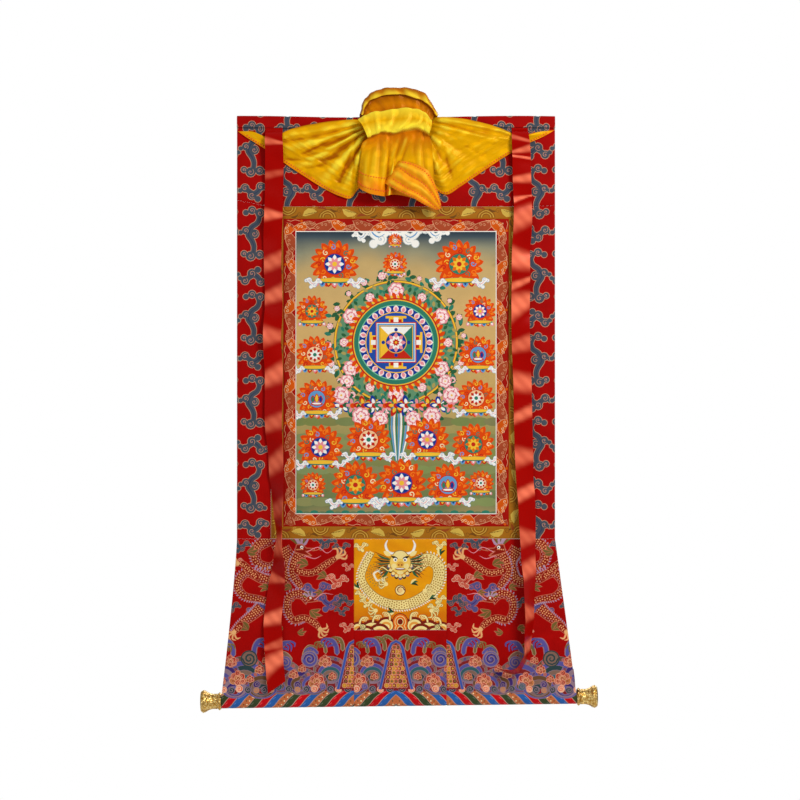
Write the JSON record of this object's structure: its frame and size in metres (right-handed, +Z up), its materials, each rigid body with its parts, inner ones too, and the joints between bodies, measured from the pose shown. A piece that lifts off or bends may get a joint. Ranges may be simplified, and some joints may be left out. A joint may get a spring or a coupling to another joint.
{
  "type": "thangka scroll painting",
  "caption": "Hanging scroll with a picture cloth in brocade borders, a gathered silk veil, satin ribbons and a weighted bottom rod with brass caps.",
  "frame": {"origin": "middle of the top edge of the cloth, where the hanging is held up", "axes": "+Z up along the scroll, +X to the right seen from the front, -Y out of the front face"},
  "size_m": [0.8444, 0.092, 1.3242],
  "materials": {
    "brocade": "satin-weave brocade",
    "gold_brocade": "satin-weave brocade",
    "red_brocade": "satin-weave brocade",
    "painted_cloth": "matt",
    "door_satin": "satin",
    "silk": "glossy silk",
    "satin": "satin ribbon",
    "wood": "plain turned",
    "brass": "embossed and polished"
  },
  "bodies": {
    "root": {"heading": "brocade", "top_panel": "brocade", "side_panel_left": "brocade", "side_panel_right": "brocade", "lower_panel_left": "brocade", "lower_panel_centre": "brocade", "lower_panel_right": "brocade", "picture_cloth": "painted_cloth", "door_panel": "door_satin", "veil": "silk", "ribbon_left": "satin", "ribbon_right": "satin", "bottom_rod": "wood", "rod_cap_left": "brass", "rod_cap_right": "brass", "gold_border_top": "gold_brocade", "gold_border_bottom": "gold_brocade", "gold_border_left": "gold_brocade", "gold_border_right": "gold_brocade", "red_border_top": "red_brocade", "red_border_bottom": "red_brocade", "red_border_left": "red_brocade", "red_border_right": "red_brocade"}
  },
  "joints": []
}
